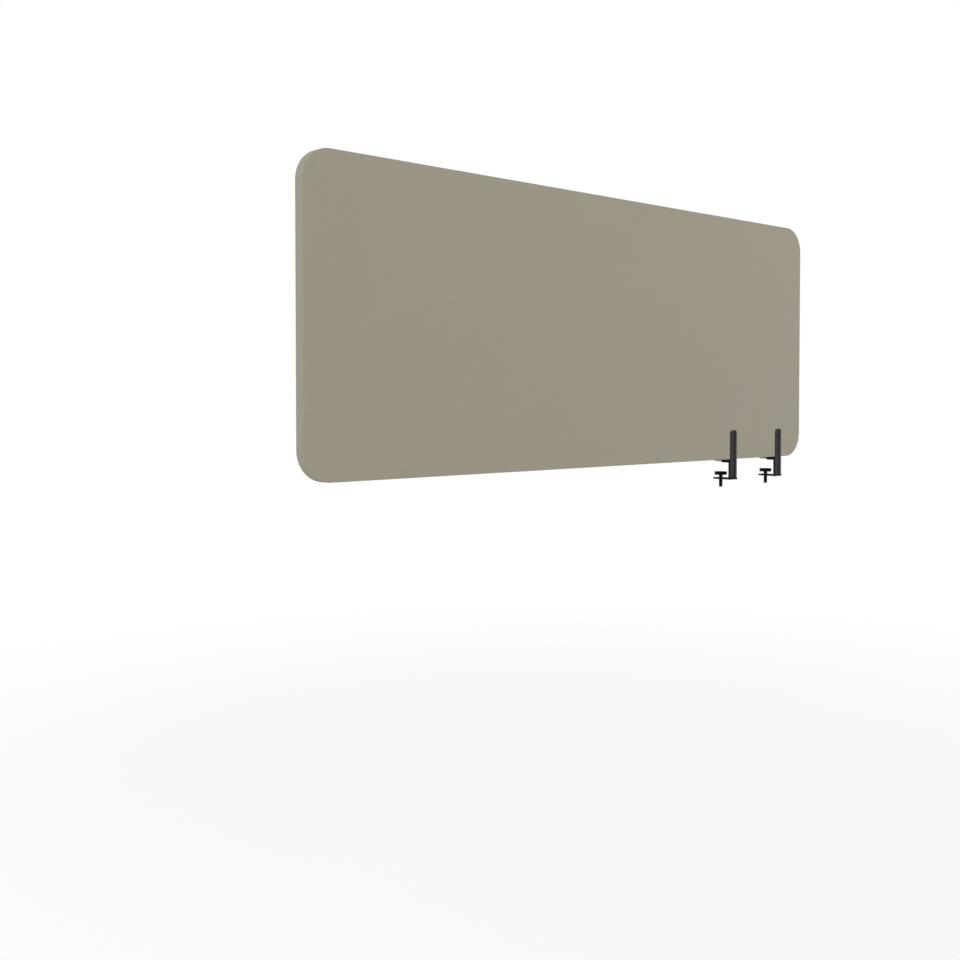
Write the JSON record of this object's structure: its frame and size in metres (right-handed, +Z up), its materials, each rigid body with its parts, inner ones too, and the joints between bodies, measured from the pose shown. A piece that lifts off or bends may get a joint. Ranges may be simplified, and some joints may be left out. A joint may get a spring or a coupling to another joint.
{
  "type": "acoustic divider screen",
  "caption": "Long cloth-covered acoustic desk screen with rounded corners, held on a desk's edge by black screw clamps.",
  "frame": {"origin": "where the desk top's upper face meets the desk's edge, under the panel's mid-length: on the plane of the jaw liners' undersides and of the stop blocks' far ends", "axes": "+X along the panel towards the end with the clamps, +Y in over the desk, square to the panel, +Z up"},
  "size_m": [1.6, 0.0556, 0.6713],
  "materials": {
    "cover_cloth": "fine plain-woven matt cloth, warm grey beige",
    "foam": "thin soft upholstery foam, off white",
    "acoustic_wool": "pressed polyester wool, grey",
    "timber": "planed softwood, bare",
    "black_coated_steel": "fine satin powder coat, black",
    "blackened_steel": "blackened, satin",
    "black_plastic": "moulded, finely grained, black",
    "black_rubber": "matt, black",
    "pale_rubber": "soft, translucent grey white",
    "spring_steel": "bright, as rolled"
  },
  "bodies": {
    "screen": {"front_cover": "cover_cloth", "rear_cover": "cover_cloth", "edge_band": "cover_cloth", "front_foam": "foam", "rear_foam": "foam", "acoustic_core": "acoustic_wool", "top_rail": "timber", "bottom_rail": "timber", "left_stile": "timber", "corner_block_top_left": "timber", "corner_block_bottom_left": "timber", "right_stile": "timber", "corner_block_top_right": "timber", "corner_block_bottom_right": "timber", "spine_bar_outer": "black_coated_steel", "upper_jaw_outer": "black_coated_steel", "stop_block_outer": "black_coated_steel", "lower_jaw_outer": "black_coated_steel", "jaw_liner_outer": "pale_rubber", "wood_screw_low_outer": "blackened_steel", "wood_screw_high_outer": "blackened_steel", "spine_bar_inner": "black_coated_steel", "upper_jaw_inner": "black_coated_steel", "stop_block_inner": "black_coated_steel", "lower_jaw_inner": "black_coated_steel", "jaw_liner_inner": "pale_rubber", "wood_screw_low_inner": "blackened_steel", "wood_screw_high_inner": "blackened_steel"},
    "foot_outer": {"foot_cup_outer": "black_plastic", "foot_rubber_outer": "black_rubber"},
    "screw_outer": {"clamp_screw_outer": "blackened_steel", "retaining_clip_outer": "spring_steel"},
    "foot_inner": {"foot_cup_inner": "black_plastic", "foot_rubber_inner": "black_rubber"},
    "screw_inner": {"clamp_screw_inner": "blackened_steel", "retaining_clip_inner": "spring_steel"}
  },
  "joints": [
    {"name": "foot_travel_outer", "type": "slide", "parent": "screen", "child": "foot_outer", "axis": [0, 0, 1], "range_m": [-0.006, 0.016]},
    {"name": "screw_turn_outer", "type": "hinge", "parent": "foot_outer", "child": "screw_outer", "pos_m": [0.7, 0.0125, -0.046], "axis": [0, 0, 1], "range_deg": [-1440, 3840]},
    {"name": "foot_travel_inner", "type": "slide", "parent": "screen", "child": "foot_inner", "axis": [0, 0, 1], "range_m": [-0.006, 0.016]},
    {"name": "screw_turn_inner", "type": "hinge", "parent": "foot_inner", "child": "screw_inner", "pos_m": [0.5, 0.0125, -0.046], "axis": [0, 0, 1], "range_deg": [-1440, 3840]}
  ],
  "couplings": [
    {"joint": "screw_turn_outer", "follows": "foot_travel_outer", "rad_per_m": 4188.8},
    {"joint": "screw_turn_inner", "follows": "foot_travel_inner", "rad_per_m": 4188.8}
  ]
}
